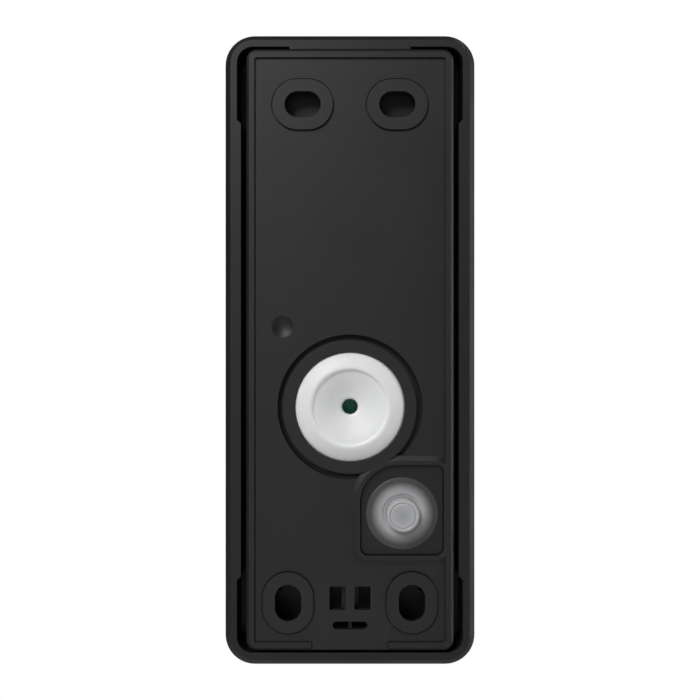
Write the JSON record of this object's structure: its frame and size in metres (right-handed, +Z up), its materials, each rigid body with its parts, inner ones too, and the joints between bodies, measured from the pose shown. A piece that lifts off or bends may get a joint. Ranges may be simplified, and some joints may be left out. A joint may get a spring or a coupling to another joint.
{
  "type": "video doorbell",
  "caption": "Upright video doorbell on its clip-on wall bracket: rear face with cable gland, spring tamper plunger and screw slots; camera and ringed push button in front.",
  "frame": {"origin": "middle of the wall plane, on the outer faces of the bracket's raised pads, halfway up and across the case", "axes": "+Z up along the case's height, +Y into the wall, so the camera and button face -Y, and +X to the right as a visitor faces the front"},
  "size_m": [0.0566, 0.0323, 0.143],
  "materials": {
    "bracket_plastic": "fine moulded grain",
    "case_plastic": "fine moulded grain",
    "fascia_gloss": "polished",
    "silicone_white": "satin",
    "silicone_grey": "translucent satin",
    "rubber_black": "matte",
    "button_gloss": "satin gloss",
    "diffuser": "milky",
    "window_glass": "dark tinted",
    "lens_glass": "coated",
    "inner_plastic": "matte",
    "white_plastic": "matte",
    "board_green": "solder mask",
    "chip_black": "matte",
    "sensor_glass": "coated",
    "steel": "plated",
    "black_steel": "black oxide",
    "brass": "turned",
    "tin_plate": "tinned",
    "can_aluminium": "satin",
    "ferrite": "matte",
    "led_lens": "clear resin",
    "foam_black": "open foam",
    "flex_amber": "polyimide",
    "paper_cone": "treated paper",
    "wire_red": "insulation",
    "membrane_white": "microporous film"
  },
  "bodies": {
    "bracket": {"mounting_bracket": "bracket_plastic", "cable_grommet": "silicone_white"},
    "doorbell_unit": {"rear_housing": "case_plastic", "front_housing": "case_plastic", "front_fascia": "fascia_gloss", "case_gasket": "rubber_black", "case_screws": "black_steel", "vent_membrane": "membrane_white", "security_screw_insert": "brass", "tamper_boot": "silicone_grey", "tamper_switch": "chip_black", "terminal_board": "board_green", "terminal_gasket": "foam_black", "terminal_board_screws": "steel", "terminal_block": "inner_plastic", "terminal_screws": "steel", "board_header": "brass", "main_board": "board_green", "camera_board": "board_green", "board_screws": "steel", "processor": "chip_black", "wifi_shield": "tin_plate", "wifi_module": "chip_black", "power_capacitors": "can_aluminium", "power_inductor": "ferrite", "camera_flex": "flex_amber", "image_sensor": "sensor_glass", "lens_holder": "inner_plastic", "lens_barrel": "inner_plastic", "lens_elements": "lens_glass", "ir_led_board": "board_green", "ir_leds": "led_lens", "light_block_ring": "foam_black", "ir_board_screws": "steel", "camera_window": "window_glass", "light_sensor": "chip_black", "button_light_ring": "diffuser", "button_seal": "rubber_black", "button_board": "board_green", "button_board_screws": "steel", "button_switch": "inner_plastic", "button_ring_leds": "led_lens", "speaker_frame": "inner_plastic", "speaker_cone": "paper_cone", "speaker_magnet": "steel", "speaker_gasket": "foam_black", "speaker_leads": "wire_red", "microphone": "tin_plate", "microphone_gasket": "foam_black", "wifi_antenna": "flex_amber"},
    "button": {"button_cap": "button_gloss"},
    "button_contact": {"button_switch_stem": "inner_plastic"},
    "tamper_plunger": {"tamper_plunger_cap": "silicone_grey", "tamper_pin": "white_plastic"},
    "tamper_contact": {"tamper_switch_stem": "white_plastic"},
    "lock_seal": {"security_screw_seal": "rubber_black"},
    "lock_screw": {"security_screw": "black_steel"},
    "ir_filter": {"ir_filter_frame": "inner_plastic", "ir_filter_panes": "lens_glass"}
  },
  "joints": [
    {"name": "doorbell_pull_off", "type": "slide", "parent": "bracket", "child": "doorbell_unit", "axis": [0, -1, 0], "range_m": [0, 0.03]},
    {"name": "button_press", "type": "slide", "parent": "doorbell_unit", "child": "button", "axis": [0, 1, 0], "range_m": [0, 0.0005], "stiffness_N_per_m": 400},
    {"name": "button_contact_press", "type": "slide", "parent": "doorbell_unit", "child": "button_contact", "axis": [0, 1, 0], "range_m": [0, 0.0005]},
    {"name": "tamper_press", "type": "slide", "parent": "doorbell_unit", "child": "tamper_plunger", "axis": [0, -1, 0], "range_m": [0, 0.0028], "stiffness_N_per_m": 300},
    {"name": "tamper_contact_press", "type": "slide", "parent": "doorbell_unit", "child": "tamper_contact", "axis": [0, -1, 0], "range_m": [0, 0.0028]},
    {"name": "lock_screw_travel", "type": "slide", "parent": "doorbell_unit", "child": "lock_seal", "axis": [0, 0, 1], "range_m": [0, 0.002]},
    {"name": "lock_screw_turn", "type": "hinge", "parent": "lock_seal", "child": "lock_screw", "pos_m": [0, -0.0054, -0.0694], "axis": [0, 0, -1], "range_deg": [0, 1440]},
    {"name": "ir_filter_shift", "type": "slide", "parent": "doorbell_unit", "child": "ir_filter", "axis": [1, 0, 0], "range_m": [0, 0.0046]}
  ],
  "couplings": [
    {"joint": "button_contact_press", "follows": "button_press", "ratio": 1},
    {"joint": "tamper_contact_press", "follows": "tamper_press", "ratio": 1},
    {"joint": "lock_screw_turn", "follows": "lock_screw_travel", "rad_per_m": 12566}
  ]
}
